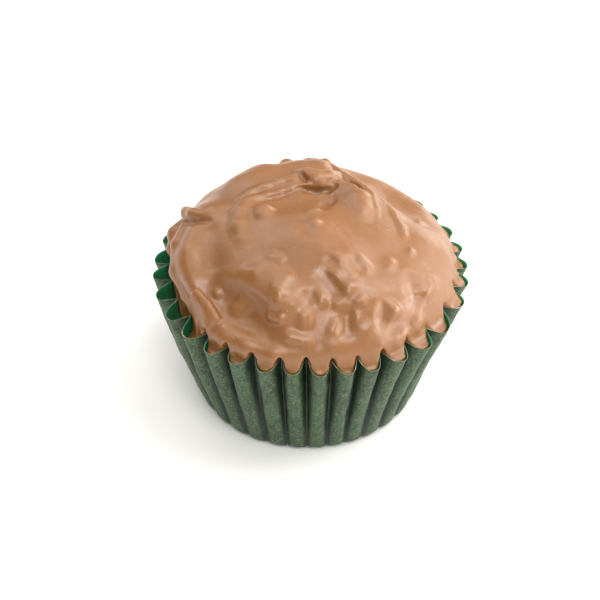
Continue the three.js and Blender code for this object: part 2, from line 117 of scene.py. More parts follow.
FOLDS = [
    # The smooth foot of the coat, from the front round to the left.
    (0.8, [
        (-15.6, -16.8, 1.6, 0.3), (-13, -18.8, 1.6, 0.5), (-9.8, -20.6, 1.6, 0.6),
        (-5.4, -22.2, 1.4, 0.5), (1, -22.5, 1.4, 0.3),
    ]),
    (2.0, [(4, -21.6, 2, 0.3), (10, -19.8, 2.4, 0.3)]),
    # Lips of the two thin folds that run up to the roll from the left, and the ridge where they turn down.
    (0.5, [
        (-11, 4.3, 0.8, 0.1), (-9.4, 5.2, 0.9, 0.35), (-7.6, 6, 1.0, 0.5), (-5, 7.2, 1.1, 0.6),
        (-2.8, 8.2, 1.3, 0.6), (-0.6, 9, 1.3, 0.5),
    ]),
    (0.5, [
        (-10.2, 3.3, 0.7, 0.1), (-8.6, 3.8, 0.7, 0.3), (-6.8, 4.5, 0.7, 0.4), (-5, 5.2, 0.7, 0.45),
        (-3, 6.1, 0.8, 0.5), (-0.6, 7.2, 0.9, 0.5),
    ]),
    (1.2, [(-10.2, 3.4, 1.0, 0.3), (-11, 0.6, 1.2, 0.5), (-11.1, -2.6, 1.2, 0.5), (-10.4, -5.6, 1.2, 0.1)]),
    # The roll over the hollow, and the tongue beside it.
    (0.4, [
        (-1.8, 10.8, 1.3, 0.4), (-0.6, 9.2, 1.5, 0.9), (0.9, 8.6, 1.7, 1.3), (2.7, 9.2, 1.6, 1.1),
        (3.8, 10.8, 1.3, 0.6),
    ]),
    (0.9, [
        (4.8, 7.4, 0.9, 0.5), (6.6, 5.8, 1.7, 0.8), (7.7, 3.4, 2.4, 1.1), (8.0, 1.0, 2.1, 0.7),
        (8.0, -1.0, 1.6, 0.1),
    ]),
    # Two strands that run down to the right.
    (0.3, [
        (3.4, 14.8, 0.8, 0.4), (5.2, 11.4, 0.7, 0.8), (6.8, 9, 0.6, 0.85), (8.3, 6.6, 0.55, 0.75),
        (9.4, 4.2, 0.5, 0.6), (10.1, 1.4, 0.45, 0.4), (10.3, -0.4, 0.3, 0.05),
    ]),
    (0.4, [
        (5, 15, 0.7, 0.3), (7.8, 12, 0.6, 0.35), (9.8, 8.8, 0.6, 0.3), (11.4, 5.4, 0.6, 0.25),
        (13, 1.8, 0.6, 0.3), (14, -1.2, 0.6, 0.4), (14.4, -3, 0.5, 0.1),
    ]),
    # The coat's lip along the left side, the knob above it and the lobes outside it.
    (0.6, [(-20.6, 8.6, 1.2, 0.7), (-22.0, 6.0, 1.5, 1.8), (-22.8, 3.2, 1.3, 1.6), (-22.9, 0.6, 1.1, 0.8)]),
    (0.5, [(-21.6, 2.0, 1.0, 0.5), (-22.2, -0.6, 1.1, 0.5), (-22.3, -3.2, 0.9, 0.2)]),
    (0.6, [
        (-19.3, 2.6, 1.1, 0.5), (-20.2, -1.6, 1.3, 0.9), (-20.7, -5.8, 1.3, 0.9),
        (-20.3, -9.6, 1.2, 0.6), (-19, -13, 1, 0.2),
    ]),
    (0.35, [
        (-19.6, 8.0, 0.45, 1.4), (-19.3, 6.4, 0.8, 1.4), (-18.8, 4.6, 1.1, 1.2), (-17.8, 3.0, 1.1, 0.8),
        (-16.2, 1.6, 0.9, 0.35),
    ]),
]
CREVICES = [
    (0.3, [
        (-2.2, 5.9, 0.5, 0.3), (-0.4, 6.1, 0.7, 0.9), (1.2, 6.1, 0.8, 1.25), (2.6, 6.3, 0.7, 1.05),
        (3.7, 6.6, 0.5, 0.5),
    ]),
    (0.3, [(-8, 2.8, 0.3, 0.05), (-6, 3.6, 0.4, 0.15), (-4, 4.6, 0.45, 0.25), (-2.2, 5.6, 0.5, 0.3)]),
    (0.3, [(-2.2, 9.9, 0.5, 0.2), (-1.8, 8.6, 0.5, 0.3), (-0.8, 7.4, 0.5, 0.4)]),
    (0.3, [(4.8, 8.8, 0.45, 0.4), (5.7, 7.9, 0.6, 1.15), (6.9, 6.8, 0.6, 1.15), (7.9, 5.4, 0.4, 0.3)]),
    (0.3, [
        (-20.6, 5.6, 0.5, 0.3), (-21.2, 2.0, 0.7, 0.6), (-22.3, -2.2, 0.9, 0.9),
        (-22.8, -6.0, 1.0, 1.0), (-22, -9.8, 0.8, 0.5),
    ]),
    (0.5, [(-19.2, 2.0, 0.5, 0.3), (-17.6, 0.7, 0.6, 0.5), (-15.6, -0.2, 0.6, 0.3)]),
    (0.35, [
        (-12.4, 1.6, 0.4, 0.1), (-10.6, 3.3, 0.4, 0.2), (-8.2, 4.9, 0.4, 0.3), (-5.8, 6.1, 0.4, 0.25),
        (-3.6, 6.9, 0.4, 0.1),
    ]),
]
# Coated lumps and flakes that show: x, y, bearing of the long way, length, width, rise and blend.
FLAKES = [
    (-7.4, -0.4, 80, 3.8, 3, 0.9, 0.9),
    (0.4, -0.8, 40, 1.7, 1.2, 0.35, 0.9),
    (-15.2, 1.6, 30, 1.5, 1.1, 0.4, 0.6),
    (-0.2, -4.6, 15, 2.6, 1.6, 0.45, 1),
    (-12.1, -16, 70, 1.8, 1.4, 0.5, 0.9),
    (-14.7, -12.8, 100, 1.2, 1, 0.35, 0.8),
    (-9, -12, 160, 3, 1.2, 0.12, 1.2),
    (-5.2, -10.4, 160, 2.6, 0.9, 0.15, 0.9),
    (-4.6, -16.4, 75, 2.2, 1.6, 0.5, 1.2),
    (-4.8, -18.8, 170, 2, 0.9, 0.4, 0.8),
    (-6.1, -18.3, 60, 1.2, 0.9, 0.35, 0.8),
    (-0.8, -19.1, 80, 2, 1.4, 0.25, 1.3),
    (-1.6, -21.2, 170, 4.2, 1.2, 0.36, 1.2),
    (1.6, -16.7, 60, 1.6, 1.2, 0.15, 1.3),
    (0.1, -17.6, 60, 1, 0.8, 0.11, 1),
    (3.8, -10.8, 150, 1.8, 1, 0.15, 1.2),
    (7.8, -10.9, 140, 2.2, 1, 0.15, 1.2),
    (3.9, -13.9, 135, 2.8, 1, 0.22, 1.1),
    (5.6, -15, 60, 1.6, 1.1, 0.13, 1.3),
    (4.1, -17, 20, 1.1, 0.9, 0.15, 1),
    (7.1, -16.3, 20, 1.1, 0.9, 0.13, 1),
    (3.6, -19.8, 60, 1.8, 1.1, 0.15, 1.3),
    (6.6, -18.6, 50, 1.6, 1.1, 0.093, 1.3),
    (8.4, -19.2, 40, 2, 1.4, 0.11, 1.6),
    (11.6, -16.2, 70, 1.8, 1.3, 0.38, 1.1),
    (11.8, -9.7, 80, 1.8, 1.2, 0.26, 1.1),
    (15, -6.1, 90, 1.3, 0.9, 0.4, 0.7),
    (17.1, -11, 65, 2.4, 1.1, 0.26, 1.1),
    (13.2, -18.2, 40, 2.6, 1.6, 0.3, 1.4),
    (15.8, -15.6, 60, 2, 1.4, 0.3, 1.4),
    (18.4, 6, 60, 2.6, 2.2, 0.4, 1),
]
# Dips on the lower left of some flakes: blend, then x, y, radius and depth.
DIPS = [
    (1.2, [(1.8, -13.9, 1.5, 0.15), (3.2, -15.4, 1.5, 0.18)]),
    (0.8, [(2.6, -11.4, 1, 0.15), (3.2, -11.9, 1, 0.15)]),
    (0.8, [(6.3, -10.9, 1, 0.12), (7.2, -11.8, 1, 0.15)]),
    (0.9, [(10.6, -16.4, 1.1, 0.15), (10.4, -17.6, 1.1, 0.12)]),
    (1.4, [(14.6, -11.2, 1.8, 0.18), (15.2, -13.6, 1.8, 0.21)]),
    (0.9, [(5.2, -18.4, 1.2, 0.15), (5.2, -20.0, 1.2, 0.15)]),
    (0.9, [(-0.2, -16.4, 1.1, 0.15), (0.2, -17.4, 1.1, 0.12)]),
    (1.0, [(-1.2, -3.6, 1.2, 0.12), (-0.4, -6.4, 1.5, 0.18)]),
]
# The broad flat flake low on the left: corners of its upper face as x, y and rise.
BLADE = [(-18.7, -12.3, 0.6), (-16.8, -11.9, 1.0), (-14.3, -16.3, 0.9), (-17.0, -17.0, 0.2)]
BACK_FLAKES = 34
SMALL_FLAKES = 36

# The camera stands where the photograph was taken from.
CAMERA_DISTANCE = 300
CAMERA_ELEVATION = 43.5
CAMERA_AIM = (-1.67, 0, 16.03)
CAMERA_LENS = 108.3

# The room's light: an even level, and soft lamps as bearing, elevation, width in degrees and strength.
ROOM_LEVEL = 0.24
WARM_LIGHT = (1.0, 0.985, 0.95)
COOL_LIGHT = (0.995, 0.985, 0.965)
LAMPS = [
    (0, 62, 28, 1.15),
    (275, 60, 28, 1.5),
    (60, 62, 30, 0.3),
    (120, 62, 30, 0.35),
    (195, 62, 30, 0.3),
    (8, 8, 34, 2.0),
    (335, 12, 32, 1.2),
    (270, 12, 32, 0.25),
    (22, 38, 36, 0.8),
    (55, 10, 32, 1.0),
    (90, 38, 36, 0.2),
    (126, 38, 36, 0.5),
    (135, 12, 32, 0.2),
]


def smoothstep(value, low=0.0, high=1.0):
    share = np.clip((value - low) / (high - low), 0, 1)
    return share * share * (3 - 2 * share)


def bell(bearing, middle, width):
    off = (bearing - middle + 180) % 360 - 180
    return np.exp(-((off / width) ** 2))


def lattice_noise(points, period, seed):
    """Smooth noise from -1 to 1 over an (N, 3) array of points."""
    rng = np.random.default_rng(seed)
    order = rng.permutation(256)
    values = rng.uniform(-1, 1, 256)
    place = np.asarray(points, float) / period
    cell = np.floor(place).astype(int)
    inner = smoothstep(place - cell)
    total = np.zeros(len(place))
    for corner in np.ndindex(2, 2, 2):
        index = cell + corner
        key = order[(index[:, 0]) & 255]
        key = order[(key + index[:, 1]) & 255]
        key = order[(key + index[:, 2]) & 255]
        weight = np.prod(np.where(corner, inner, 1 - inner), axis=1)
        total += weight * values[key]
    return total


# Where things lie on the paper case

def fold_bearing(index):
    """Bearing of an outer fold, for whole numbers that may run past the last pleat."""
    index = np.asarray(index, int)
    return FIRST_FOLD_BEARING + 360 * index / PLEATS + np.array(FOLD_SHIFTS)[index % PLEATS]


def bearing_at(phase):
    low = np.floor(phase).astype(int)
    return fold_bearing(low) + (phase - low) * (fold_bearing(low + 1) - fold_bearing(low))


def phase_at(bearing):
    """Which pleat a bearing falls in, as a whole number at each outer fold."""
    indices = np.arange(-2, PLEATS + 3)
    turned = FIRST_FOLD_BEARING + (bearing - FIRST_FOLD_BEARING) % 360
    return np.interp(turned, fold_bearing(indices), indices)


def pleat_share(phase):
    """Share of the pleat's depth: 0 at an outer fold, 1 at an inner fold."""
    across = 2 * np.abs(phase - np.round(phase))
    return 0.5 * across**PLEAT_ROUNDNESS + 0.5 * smoothstep(across**PLEAT_ROUNDNESS)


def wall_radius(bearing, level):
    base = BASE_RADIUS + BASE_SHIFT * np.cos(np.radians(bearing - BASE_SHIFT_BEARING))
    rim = RIM_RADIUS + sum(by * bell(bearing, middle, width) for middle, width, by in RIM_SWELLS)
    bulge = WALL_BULGE * np.cos(np.radians(bearing - WALL_BULGE_BEARING))
    bulge = bulge * np.sin(np.pi * np.clip(level, 0, 1))
    below = np.clip(CORNER_RADIUS - level * OUTER_FOLD_HEIGHT, 0, CORNER_RADIUS)
    corner = CORNER_RADIUS - np.sqrt(CORNER_RADIUS**2 - below**2)
    return base + (rim - base) * level + bulge - corner


def pleat_depth(bearing, level):
    front = FRONT_PLEAT_EXTRA * np.cos(np.radians(bearing - 270))
    return PLEAT_DEPTH_AT_BASE + (PLEAT_DEPTH_AT_RIM + front - PLEAT_DEPTH_AT_BASE) * level


def paper_height(share, level):
    return level * (OUTER_FOLD_HEIGHT + (INNER_FOLD_HEIGHT - OUTER_FOLD_HEIGHT) * share)


def paper_radius(bearing, phase, level):
    """Radius of the middle of the paper."""
    depth = pleat_share(phase) * pleat_depth(bearing, level) * (1 + pleat_wander(phase, level))
    return wall_radius(bearing, level) - SHEET_INSET - depth


def pleat_wander(phase, level):
    """Uneven depth of the pleats, changing slowly down the wall."""
    phase, level = np.broadcast_arrays(phase, level)
    angle = 2 * np.pi * phase / PLEATS
    around = np.stack([13 * np.cos(angle), 13 * np.sin(angle), 2.2 * level], -1).reshape(-1, 3)
    return 0.22 * lattice_noise(around, 2.4, SEED + 5).reshape(phase.shape)


# Meshes

def make_object(name, points, faces, smooth=True):
    mesh = bpy.data.meshes.new(name)
    mesh.from_pydata((np.asarray(points) * MM).tolist(), [], faces)
    mesh.validate()
    mesh.update()
    obj = bpy.data.objects.new(name, mesh)
    bpy.context.scene.collection.objects.link(obj)
    if smooth:
        mesh.shade_smooth()
    return obj


def grid_normals(points):
    """Outward unit normals of a closed-round grid of points, rows going up."""
    around = np.roll(points, -1, axis=1) - np.roll(points, 1, axis=1)
    along = np.gradient(points, axis=0)
    normal = np.cross(around, along)
    return normal / np.maximum(np.linalg.norm(normal, axis=2, keepdims=True), 1e-9)


def ring_faces(rows, columns, flip=False):
    faces = []
    for row in range(rows - 1):
        for column in range(columns):
            after = (column + 1) % columns
            face = (
                row * columns + column,
                row * columns + after,
                (row + 1) * columns + after,
                (row + 1) * columns + column,
            )
            faces.append(face[::-1] if flip else face)
    return faces


def make_paper_case():
    columns = PLEATS * COLUMNS_PER_PLEAT
    phase = np.arange(columns) / COLUMNS_PER_PLEAT
    share = pleat_share(phase)
    bearing = bearing_at(phase)
    corner_top = CORNER_RADIUS / OUTER_FOLD_HEIGHT
    corner = corner_top * (1 - np.cos(np.linspace(0, np.pi / 2, CORNER_ROWS)))
    wall = np.linspace(corner_top, 1, WALL_ROWS)[1:]
    levels = np.concatenate([corner, wall])[:, None]
    radius = paper_radius(bearing, phase, levels)
    height = paper_height(share, levels)
    # The cut edge isn't quite level, and the inner folds lean a little to one side near the rim.
    rim = smoothstep(levels, 0.75, 1.0)
    around = np.stack([9 * np.cos(np.radians(bearing)), 9 * np.sin(np.radians(bearing)), 0 * bearing], -1)
    height = height + rim * 0.16 * lattice_noise(around, 0.9, SEED + 1)
    lean = 0.06 * (360 / PLEATS) * lattice_noise(around, 1.3, SEED + 2)
    angle = np.radians(bearing + share * rim * lean)
    outside = np.stack([radius * np.cos(angle), radius * np.sin(angle), height], -1)
    # Fine crumples in the paper between the folds.
    crumple = lattice_noise(outside.reshape(-1, 3), 2.6, SEED + 3) * 0.09
    crumple += lattice_noise(outside.reshape(-1, 3), 1.1, SEED + 4) * 0.035
    normals = grid_normals(outside)
    outside = outside + normals * (crumple.reshape(radius.shape) * smoothstep(levels, 0.0, 0.15))[..., None]
    outside[0, :, 2] = 0
    normals = grid_normals(outside)
    normals[0] = (0, 0, -1)
    inside = outside - normals * PAPER
    shares = np.linspace(0, 1, BASE_ROWS + 1)[1:-1][:, None, None]
    base_outside = outside[:1] * np.array([1, 1, 0]) * shares
    base_inside = inside[:1] * np.array([1, 1, 0]) * shares + np.array([0, 0, PAPER])
    outer = np.concatenate([base_outside, outside])
    inner = np.concatenate([base_inside, inside])
    rows = len(outer)
    count = rows * columns
    points = np.concatenate([outer.reshape(-1, 3), inner.reshape(-1, 3), [[0, 0, 0], [0, 0, PAPER]]])
    faces = ring_faces(rows, columns)
    outer_faces = len(faces)
    faces += [tuple(count + v for v in face) for face in ring_faces(rows, columns, flip=True)]
    faces += [(2 * count, (c + 1) % columns, c) for c in range(columns)]
    faces += [(2 * count + 1, count + c, count + (c + 1) % columns) for c in range(columns)]
    edge_start = len(faces)
    top = (rows - 1) * columns
    for column in range(columns):
        after = (column + 1) % columns
        faces.append((top + column, top + after, count + top + after, count + top + column))
    obj = make_object("green_paper_case", points, faces)
    slots = np.zeros(len(faces), np.int32)
    slots[outer_faces : 2 * outer_faces] = 1
    slots[2 * outer_faces + columns : edge_start] = 1
    slots[edge_start:] = 2
    obj.data.polygons.foreach_set("material_index", slots)
    add_paper_coordinates(obj, outer, inner, share)
    return obj


def add_paper_coordinates(obj, outer, inner, share):
    """Distance round and up the flat sheet in metres, for fibres that run with it, and the pleat's share,
    which sets the painted shade in the inner folds.
    """
    def lengths(grid):
        up = np.cumsum(np.linalg.norm(np.diff(grid, axis=0, prepend=grid[:1]), axis=2), axis=0)
        gap = np.linalg.norm(np.diff(grid[-1], axis=0, prepend=grid[-1][:1]), axis=1)
        return np.stack([np.broadcast_to(np.cumsum(gap), up.shape), up], -1)
    flat = np.concatenate([lengths(outer).reshape(-1, 2), lengths(inner).reshape(-1, 2), [[0, 0], [0, 0]]])
    layer = obj.data.attributes.new("sheet", "FLOAT_VECTOR", "POINT")
    flat = np.concatenate([flat * MM, np.zeros((len(flat), 1))], axis=1)
    layer.data.foreach_set("vector", flat.astype(np.float32).ravel())
    folds = np.zeros(len(flat))
    folds[:-2] = np.tile(share, (len(flat) - 2) // len(share))
    layer = obj.data.attributes.new("fold", "FLOAT", "POINT")
    layer.data.foreach_set("value", folds.astype(np.float32))


# The chocolate as a field of distances, negative inside

def dome_height(x, y):
    up = 0.5
    for _ in range(6):
        out = min(0.995, math.hypot(x - DOME_LEAN * up, y) / DOME_RADIUS)
        up = (1 - out**DOME_FLANK_POWER) ** (1 / DOME_CROWN_POWER)
    return DOME_FOOT + DOME_RISE * up


def dome_normal(x, y):
    step = 0.5
    slope_x = (dome_height(x + step, y) - dome_height(x - step, y)) / (2 * step)
    slope_y = (dome_height(x, y + step) - dome_height(x, y - step)) / (2 * step)
    return Vector((-slope_x, -slope_y, 1)).normalized()


def dome_distance(x, y, z):
    up = np.maximum(0.02, (z - DOME_FOOT) / DOME_RISE)
    shifted = x - DOME_LEAN * up
    bearing = np.degrees(np.arctan2(y, shifted))
    at_foot = 1 - smoothstep(up, 0.3, 0.56)
    radius = DOME_RADIUS - SETBACK * at_foot * bell(bearing, SETBACK_BEARING, SETBACK_WIDTH)
    out = np.hypot(shifted, y) / radius
    value = out**DOME_FLANK_POWER + up**DOME_CROWN_POWER - 1
    slope_out = DOME_FLANK_POWER * out ** (DOME_FLANK_POWER - 1) / radius
    slope_up = DOME_CROWN_POWER * up ** (DOME_CROWN_POWER - 1) / DOME_RISE
    return value / np.hypot(slope_out, slope_up)


def soft_min(a, b, blend):
    overlap = np.maximum(blend - np.abs(a - b), 0) / blend
    return np.minimum(a, b) - overlap * overlap * blend / 4


class Field:
    """Distances on a regular grid, so that each rod only touches the cells near it."""

    def __init__(self, low, high, step):
        self.low = np.array(low, float)
        self.step = step
        self.axes = [np.arange(a, b + step, step) for a, b in zip(low, high)]
        self.values = dome_distance(*np.meshgrid(*self.axes, indexing="ij")).astype(np.float32)

    def near(self, low, high):
        slices = []
        for axis, a, b in zip(self.axes, low, high):
            slices.append(slice(*np.searchsorted(axis, (a, b))))
        grid = np.meshgrid(*(axis[part] for axis, part in zip(self.axes, slices)), indexing="ij")
        return tuple(slices), grid

    def at(self, point):
        """Distance at one point, between the grid's corners."""
        place = (np.asarray(point) - self.low) / self.step
        cell = np.clip(np.floor(place).astype(int), 0, np.array(self.values.shape) - 2)
        inner = np.clip(place - cell, 0, 1)
        total = 0.0
        for corner in np.ndindex(2, 2, 2):
            weight = np.prod(np.where(corner, inner, 1 - inner))
            total += weight * self.values[tuple(cell + corner)]
        return float(total)

    def add_rod(self, start, end, blend, hollow=False):
        (a, radius_a), (b, radius_b) = start, end
        reach = max(radius_a, radius_b) + 2 * blend + 1
        low = np.minimum(a, b) - reach
        high = np.maximum(a, b) + reach
        part, (x, y, z) = self.near(low, high)
        axis = np.asarray(b) - np.asarray(a)
        offset = np.stack([x - a[0], y - a[1], z - a[2]], -1)
        share = np.clip(offset @ axis / max(axis @ axis, 1e-9), 0, 1)
        distance = np.linalg.norm(offset - share[..., None] * axis, axis=-1)
        distance -= radius_a + share * (radius_b - radius_a)
        values = self.values[part]
        if hollow:
            values = -soft_min(-values, distance, blend)
        else:
            values = soft_min(values, distance, blend)
        self.values[part] = values


def ball_on_surface(field, knot, side=1):
    """A ball that stands out of the surface reached so far by the knot's rise, or sinks into it."""
    x, y, radius, rise = knot
    start = np.array((x, y, dome_height(x, y)))
    normal = np.array(dome_normal(x, y))
    depth = 0
    for _ in range(3):
        depth += field.at(start - normal * depth)
    return start + normal * (side * (rise - radius) - depth), radius


def add_path(field, blend, path, hollow=False):
    balls = [ball_on_surface(field, knot, -1 if hollow else 1) for knot in path]
    for start, end in zip(balls, balls[1:]):
        field.add_rod(start, end, blend, hollow)


def flake_path(x, y, turn, long, wide, rise):
    half = max(0.1, (long - wide) / 2)
    dx = half * math.cos(math.radians(turn))
    dy = half * math.sin(math.radians(turn))
    return [(x - dx, y - dy, wide / 2, rise * 0.8), (x + dx, y + dy, wide / 2, rise)]


def seeded_flakes():
    """Lumps low on the far side, and small ones on the front and far slopes."""
    rng = np.random.default_rng(SEED)
    flakes = []
    for i in range(BACK_FLAKES):
        bearing = math.radians(-8 + 196 * (i + rng.random()) / BACK_FLAKES)
        out = 11 + 10.5 * math.sqrt(rng.random())
        x, y = out * math.cos(bearing), out * math.sin(bearing)
        shape = (rng.uniform(2.2, 5.5), rng.uniform(1.7, 2.8), rng.uniform(0.6, 1.1))
        turn = 360 * rng.random()
        if y > 19:
            flakes.append((x, y, turn, *shape, 1.1))
    for _ in range(SMALL_FLAKES):
        bearing = rng.uniform(0, 2 * math.pi)
        out = 22 * math.sqrt(rng.random())
        x, y = out * math.cos(bearing), out * math.sin(bearing)
        shape = (rng.uniform(1.2, 3.2), rng.uniform(0.8, 1.2), rng.uniform(0.04, 0.12))
        turn = 360 * rng.random()
        if y < -12 or y > 19:
            flakes.append((x, y, turn, *shape, 1.0))
    return flakes


def chocolate_field():
    field = Field((-25.5, -25.5, 0), (25.5, 25.5, 38.5), GRID_STEP)
    for blend, path in SWELLS:
        add_path(field, blend, path)
    for blend, path in HOLLOWS:
        add_path(field, blend, path, hollow=True)
    for blend, path in FOLDS:
        add_path(field, blend, path)
    for *flake, blend in FLAKES + seeded_flakes():
        add_path(field, blend, flake_path(*flake))
    for blend, path in DIPS:
        add_path(field, blend, path, hollow=True)
    add_blade(field)
    for blend, path in CREVICES:
        add_path(field, blend, path, hollow=True)
    x, y, z = np.meshgrid(*field.axes, indexing="ij")
    flat_x, flat_y = np.meshgrid(*field.axes[:2], indexing="ij")
    bearing = np.degrees(np.arctan2(flat_y, flat_x))
    phase = phase_at(bearing)
    share = pleat_share(phase)
    # Soft unevenness of the poured surface.
    band = np.abs(field.values) < 2
    points = np.stack([x[band], y[band], z[band]], -1)
    broad = lattice_noise(points, 5.5, SEED + 6)
    fine = lattice_noise(points, 2.3, SEED + 7)
    field.values[band] += BROAD_UNEVENNESS * broad + FINE_UNEVENNESS * fine
    # Chocolate fills the pleats up to a collar, lower where the dome stands back.
    collar = COLLAR_HEIGHT - COLLAR_SETBACK_DROP * bell(bearing, SETBACK_BEARING, SETBACK_WIDTH)
    flat = np.stack([flat_x, flat_y, 0 * flat_x], -1).reshape(-1, 3)
    collar = collar + 0.35 * lattice_noise(flat, 4, SEED + 8).reshape(collar.shape)
    values = soft_min(field.values, z - collar[..., None], 1.2)
    # The paper holds it in, and above the rim nothing does.
    level = z / paper_height(share, 1.0)[..., None]
    wander = np.broadcast_to(phase[..., None], z.shape)
    room = paper_radius(bearing[..., None], wander, np.minimum(level, 1.05)) - PAPER_CLEARANCE
    hidden = smoothstep(z, HIDDEN_HEIGHT + 0.5, HIDDEN_HEIGHT - 2)
    room = room + 6 * smoothstep(level, 1.03, 1.12) - HIDDEN_CLEARANCE * hidden
    values = np.maximum(values, (np.hypot(x, y) - room) * 0.9)
    field.values = np.maximum(values, CHOCOLATE_FLOOR - z)
    return field


def add_blade(field):
    """A flat flake standing out of the coat: rods close together between its two long edges."""
    left_top, right_top, right_foot, left_foot = (np.array(c) for c in BLADE)
    rods = []
    for share in np.linspace(0, 1, 6):
        top = left_top + (right_top - left_top) * share
        foot = left_foot + (right_foot - left_foot) * share
        middle = (top + foot) / 2
        rods.append([(*spot[:2], 0.55, spot[2]) for spot in (top, middle, foot)])
    balls = [[ball_on_surface(field, knot) for knot in rod] for rod in rods]
    for rod in balls:
        for start, end in zip(rod, rod[1:]):
            field.add_rod(start, end, 0.4)


def surface_of(field):
    """Points and four-sided faces where the field crosses zero, one point to each crossed cell."""
    values = field.values
    inside = values < 0
    cells = np.array(values.shape) - 1

    def corner(array, offset):
        return array[tuple(slice(o, o + n) for o, n in zip(offset, cells))]

    count = sum(corner(inside, offset).astype(np.int8) for offset in np.ndindex(2, 2, 2))
    active = (count > 0) & (count < 8)
    where = np.argwhere(active)
    number = np.full(cells, -1)
    number[active] = np.arange(len(where))
    total = np.zeros((len(where), 3))
    hits = np.zeros(len(where))
    for a in np.ndindex(2, 2, 2):
        for axis in range(3):
            if a[axis]:
                continue
            b = list(a)
            b[axis] = 1
            value_a = corner(values, a)[active]
            value_b = corner(values, b)[active]
            crossed = (value_a < 0) != (value_b < 0)
            share = np.where(crossed, value_a / np.where(crossed, value_a - value_b, 1), 0)
            spot = np.array(a) + share[:, None] * (np.array(b) - np.array(a))
            total += np.where(crossed[:, None], spot, 0)
            hits += crossed
    points = field.low + field.step * (where + total / hits[:, None])
    faces = []
    for axis in range(3):
        u, v = (axis + 1) % 3, (axis + 2) % 3
        first = np.take(inside, range(0, inside.shape[axis] - 1), axis)
        second = np.take(inside, range(1, inside.shape[axis]), axis)
        spots = np.argwhere(first != second)
        keep = (spots[:, u] > 0) & (spots[:, v] > 0) & (spots[:, u] < cells[u]) & (spots[:, v] < cells[v])
        spots = spots[keep]
        leaving = inside[tuple(spots.T)]
        quad = []
        for step_u, step_v in ((-1, -1), (0, -1), (0, 0), (-1, 0)):
            cell = spots.copy()
            cell[:, u] += step_u
            cell[:, v] += step_v
            quad.append(number[tuple(cell.T)])
        quad = np.stack(quad, 1)
        quad[~leaving] = quad[~leaving][:, ::-1]
        faces.append(quad)
    return points, np.concatenate(faces)


def relax(points, faces, rounds, share):
    """Evens out the points without moving the surface much."""
    edges = np.concatenate([faces[:, [i, (i + 1) % 4]] for i in range(4)])
    ends = np.concatenate([edges, edges[:, ::-1]])
    count = np.bincount(ends[:, 0], minlength=len(points))[:, None]
    for _ in range(rounds):
        total = np.stack([np.bincount(ends[:, 0], points[ends[:, 1], i], len(points)) for i in range(3)], 1)
        points = points + share * (total / count - points)
    return points


def make_chocolate():
    field = chocolate_field()
    points, faces = surface_of(field)
    points = relax(points, faces, 2, 0.5)
    wide = relax(points, faces, 14, 0.6)
    obj = make_object("chocolate_and_coconut", points, faces.tolist())
    normals = np.zeros(len(points) * 3, np.float32)
    obj.data.vertices.foreach_get("normal", normals)
    # Height over the smoothed surface; the chocolate's colour paints shade into the hollows from it.
    relief = ((points - wide) * normals.reshape(-1, 3)).sum(1)
    layer = obj.data.attributes.new("relief", "FLOAT", "POINT")
    layer.data.foreach_set("value", relief.astype(np.float32))
    thin_out_below(obj, HIDDEN_HEIGHT, HIDDEN_SHARE)
    return obj


def thin_out_below(obj, height, ratio):
    """Spends fewer faces on the part that the paper hides."""
    group = obj.vertex_groups.new(name="hidden")
    low = [v.index for v in obj.data.vertices if v.co.z < height * MM]
    group.add(low, 1.0, "REPLACE")
    modifier = obj.modifiers.new("thin_out", "DECIMATE")
    modifier.ratio = ratio
    modifier.vertex_group = group.name
    evaluated = obj.evaluated_get(bpy.context.evaluated_depsgraph_get())
    mesh = bpy.data.meshes.new_from_object(evaluated)
    obj.modifiers.clear()
    obj.data = mesh
    mesh.shade_smooth()


# Materials

class Nodes:
    """Short ways to add and link shader nodes."""

    def __init__(self, name):
        self.material = bpy.data.materials.new(name)
        self.material.use_nodes = True
        self.tree = self.material.node_tree
        self.tree.nodes.clear()

    def add(self, kind, settings=None, **inputs):
        node = self.tree.nodes.new(kind)
        for key, value in (settings or {}).items():
            setattr(node, key, value)
        for key, value in inputs.items():
            self.set(node, key.replace("_", " "), value)
        return node

    def set(self, node, key, value):
        socket = node.inputs[int(key)] if key.isdigit() else node.inputs[key]
        if isinstance(value, bpy.types.NodeSocket):
            self.tree.links.new(value, socket)
        elif isinstance(value, bpy.types.Node):
            self.tree.links.new(value.outputs[0], socket)
        else:
            socket.default_value = value

    def noise(self, vector, period_mm, detail=3.0, roughness=0.5):
        node = self.add("ShaderNodeTexNoise", {"noise_dimensions": "3D"})
        self.set(node, "Vector", vector)
        self.set(node, "Scale", 1000.0 / period_mm)
        self.set(node, "Detail", detail)
        self.set(node, "Roughness", roughness)
        return node.outputs["Fac"]

    def range(self, value, low, high, to_low=0.0, to_high=1.0):
        node = self.add("ShaderNodeMapRange")
        self.set(node, "Value", value)
        self.set(node, "From Min", low)
        self.set(node, "From Max", high)
        self.set(node, "To Min", to_low)
        self.set(node, "To Max", to_high)
        return node.outputs["Result"]

    def math(self, operation, a, b):
        node = self.add("ShaderNodeMath", {"operation": operation})
        self.set(node, "0", a)
        self.set(node, "1", b)
        return node.outputs[0]

    def mix_color(self, factor, a, b, blend="MIX"):
        node = self.add("ShaderNodeMix", {"data_type": "RGBA", "blend_type": blend})
        for index, value in ((0, factor), (6, a), (7, b)):
            socket = node.inputs[index]
            if isinstance(value, bpy.types.NodeSocket):
                self.tree.links.new(value, socket)
            else:
                socket.default_value = value
        return node.outputs[2]

    def bump(self, height, distance_mm, strength=1.0, normal=None):
        node = self.add("ShaderNodeBump")
        self.set(node, "Height", height)
        self.set(node, "Distance", distance_mm * MM)
        self.set(node, "Strength", strength)
        if normal is not None:
            self.set(node, "Normal", normal)
        return node.outputs["Normal"]

    def output(self, shader):
        node = self.add("ShaderNodeOutputMaterial")
        self.tree.links.new(shader, node.inputs["Surface"])


